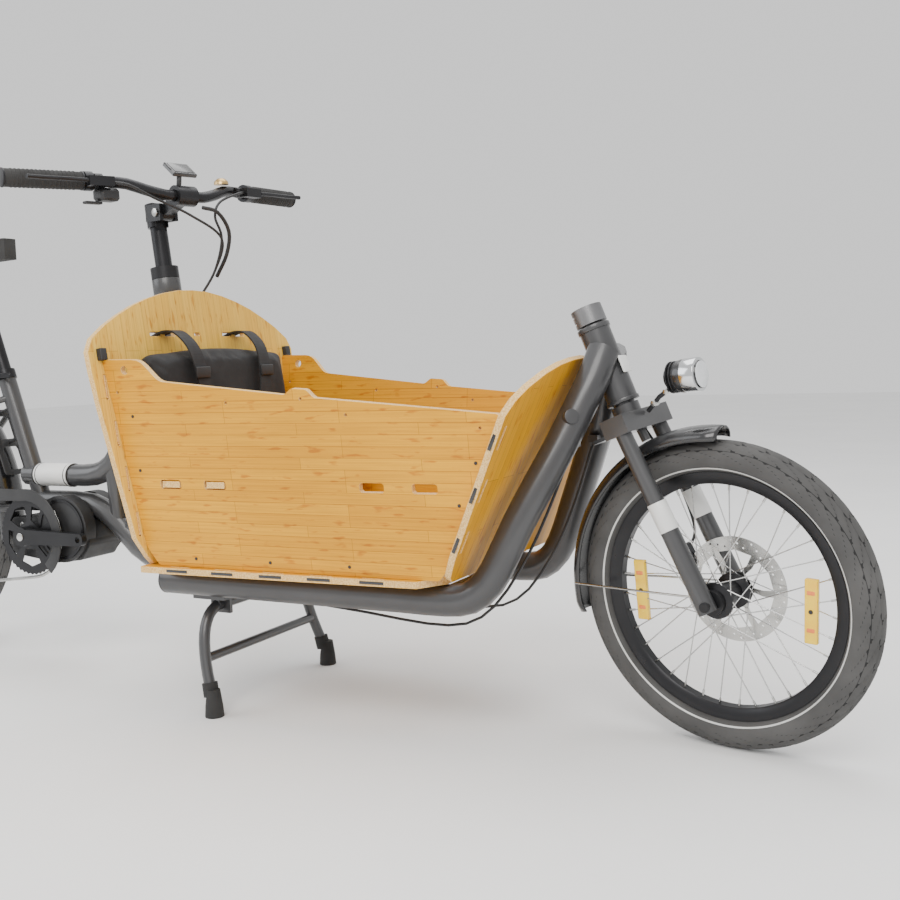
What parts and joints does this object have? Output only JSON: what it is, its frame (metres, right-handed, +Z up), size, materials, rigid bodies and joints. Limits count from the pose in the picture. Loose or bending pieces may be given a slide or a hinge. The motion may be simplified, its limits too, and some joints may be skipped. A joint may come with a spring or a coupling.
{
  "type": "cargo bicycle",
  "caption": "Electric front-loader cargo bicycle: small steered front wheel, open plywood box with bench seat between rails, raked column with handlebar, centre stand and rear rack.",
  "frame": {"origin": "on the floor under the middle of the bicycle's overall length and width", "axes": "+X forwards, +Y to the rider's left, +Z up; the handlebar and the front wheel rest turned 12.85 degrees to the right"},
  "size_m": [2.5705, 0.6783, 1.0657],
  "materials": {
    "frame_paint": "satin dark grey paint",
    "bamboo": "oiled bamboo plywood",
    "black_plastic": "moulded black plastic",
    "rubber": "black rubber",
    "alloy_black": "black anodised alloy",
    "steel": "ground steel",
    "fabric": "black coated fabric",
    "lens": "clear and chrome lamp",
    "red_lens": "red lens",
    "brass": "bare brass",
    "grip": "soft black rubber"
  },
  "bodies": {
    "frame": {"frame_front": "frame_paint", "frame_rear": "frame_paint", "box_floor": "bamboo", "box_side_right": "bamboo", "box_side_left": "bamboo", "box_rear_panel": "bamboo", "box_front_panel": "bamboo", "bench_board": "bamboo", "seat_cushion": "fabric", "back_cushion": "fabric", "motor_casing": "black_plastic", "chain_guard": "black_plastic", "chain": "steel", "derailleur": "alloy_black", "rear_fender": "black_plastic", "rear_rack": "alloy_black", "rear_light": "red_lens", "seat_tube_plate": "black_plastic", "steering_cable_right": "black_plastic", "steering_cable_left": "black_plastic", "rear_brake_caliper": "alloy_black", "seat_clamp": "alloy_black"},
    "column": {"steering_mast": "alloy_black", "control_cables": "black_plastic"},
    "bar": {"stem_arm": "alloy_black", "handlebar": "alloy_black", "grip_right": "grip", "grip_left": "grip", "brake_body_right": "alloy_black", "brake_body_left": "alloy_black", "shifter_pod": "black_plastic", "bell": "brass"},
    "display_unit": {"display": "black_plastic"},
    "right_lever": {"brake_lever_right": "alloy_black"},
    "left_lever": {"brake_lever_left": "alloy_black"},
    "gear_lever": {"shift_lever": "black_plastic"},
    "front_fork": {"fork": "frame_paint", "steerer_collar": "alloy_black", "front_fender": "black_plastic", "front_brake_caliper": "alloy_black", "lamp_bracket": "alloy_black"},
    "lamp": {"headlight": "lens"},
    "front_wheel": {"front_tyre": "rubber", "front_rim": "alloy_black", "front_hub": "alloy_black", "front_brake_disc": "steel"},
    "rear_wheel": {"rear_tyre": "rubber", "rear_rim": "alloy_black", "rear_hub": "alloy_black", "rear_brake_disc": "steel"},
    "cogs": {"cassette": "steel"},
    "cranks": {"crankset": "alloy_black", "crank_left": "alloy_black"},
    "stand": {"kickstand": "frame_paint", "foot_right": "grip", "foot_left": "grip"},
    "seat": {"seatpost": "alloy_black", "saddle": "grip"},
    "seat_lever": {"seat_clamp_lever": "alloy_black"},
    "battery_pack": {"battery": "black_plastic"}
  },
  "joints": [
    {"name": "column_steer", "type": "hinge", "parent": "frame", "child": "column", "pos_m": [-0.1308, 0, 1.0059], "axis": [-0.1201, 0, 0.9928], "range_deg": [-27.15, 52.85]},
    {"name": "fork_steer", "type": "hinge", "parent": "frame", "child": "front_fork", "pos_m": [1.00247, 0, 0.24254], "axis": [-0.3704, 0, 0.9289], "range_deg": [-27.15, 52.85]},
    {"name": "stem_tilt", "type": "hinge", "parent": "column", "child": "bar", "pos_m": [-0.09871, -0.00634, 0.97191], "axis": [0.2208, 0.975, 0.0267], "range_deg": [-40, 10]},
    {"name": "front_wheel_spin", "type": "hinge", "parent": "front_fork", "child": "front_wheel", "pos_m": [1.03906, -0.00898, 0.25712], "axis": [0.2066, 0.975, 0.0824], "continuous": true},
    {"name": "rear_wheel_spin", "type": "hinge", "parent": "frame", "child": "rear_wheel", "pos_m": [-0.945, 0, 0.334], "axis": [0, 1, 0], "continuous": true},
    {"name": "crank_spin", "type": "hinge", "parent": "frame", "child": "cranks", "pos_m": [-0.481, 0, 0.297], "axis": [0, 1, 0], "continuous": true},
    {"name": "cassette_spin", "type": "hinge", "parent": "frame", "child": "cogs", "pos_m": [-0.945, 0, 0.334], "axis": [0, 1, 0], "continuous": true},
    {"name": "kickstand_fold", "type": "hinge", "parent": "frame", "child": "stand", "pos_m": [0.085, 0, 0.197], "axis": [0, 1, 0], "range_deg": [0, 80]},
    {"name": "brake_lever_right_pull", "type": "hinge", "parent": "bar", "child": "right_lever", "pos_m": [-0.08818, -0.22403, 1.01014], "axis": [-0.003, -0.0267, 0.9996], "range_deg": [-11, 0], "stiffness_Nm_per_rad": 1},
    {"name": "brake_lever_left_pull", "type": "hinge", "parent": "bar", "child": "left_lever", "pos_m": [0.00407, 0.18329, 1.02131], "axis": [-0.003, -0.0267, 0.9996], "range_deg": [0, 11], "stiffness_Nm_per_rad": 1},
    {"name": "shift_lever_push", "type": "hinge", "parent": "bar", "child": "gear_lever", "pos_m": [-0.10033, -0.18651, 0.9726], "axis": [-0.003, -0.0267, 0.9996], "range_deg": [0, 20], "stiffness_Nm_per_rad": 0.5},
    {"name": "display_tilt", "type": "hinge", "parent": "bar", "child": "display_unit", "pos_m": [-0.03921, -0.02156, 1.03571], "axis": [0.2208, 0.975, 0.0267], "range_deg": [-12, 12]},
    {"name": "headlight_tilt", "type": "hinge", "parent": "front_fork", "child": "lamp", "pos_m": [0.96276, -0.02138, 0.59511], "axis": [0.2066, 0.975, 0.0824], "range_deg": [-10, 10]},
    {"name": "seatpost_height", "type": "slide", "parent": "frame", "child": "seat", "axis": [-0.3148, 0, 0.9492], "range_m": [-0.05, 0.1]},
    {"name": "seat_clamp_lever_open", "type": "hinge", "parent": "frame", "child": "seat_lever", "pos_m": [-0.59808, -0.0275, 0.65], "axis": [-0.3148, 0, 0.9492], "range_deg": [-90, 0]},
    {"name": "battery_slide", "type": "slide", "parent": "frame", "child": "battery_pack", "axis": [-1, 0, 0], "range_m": [0, 0.34]}
  ],
  "couplings": [
    {"joint": "fork_steer", "follows": "column_steer", "ratio": 1},
    {"joint": "cassette_spin", "follows": "crank_spin", "ratio": 2.7}
  ]
}
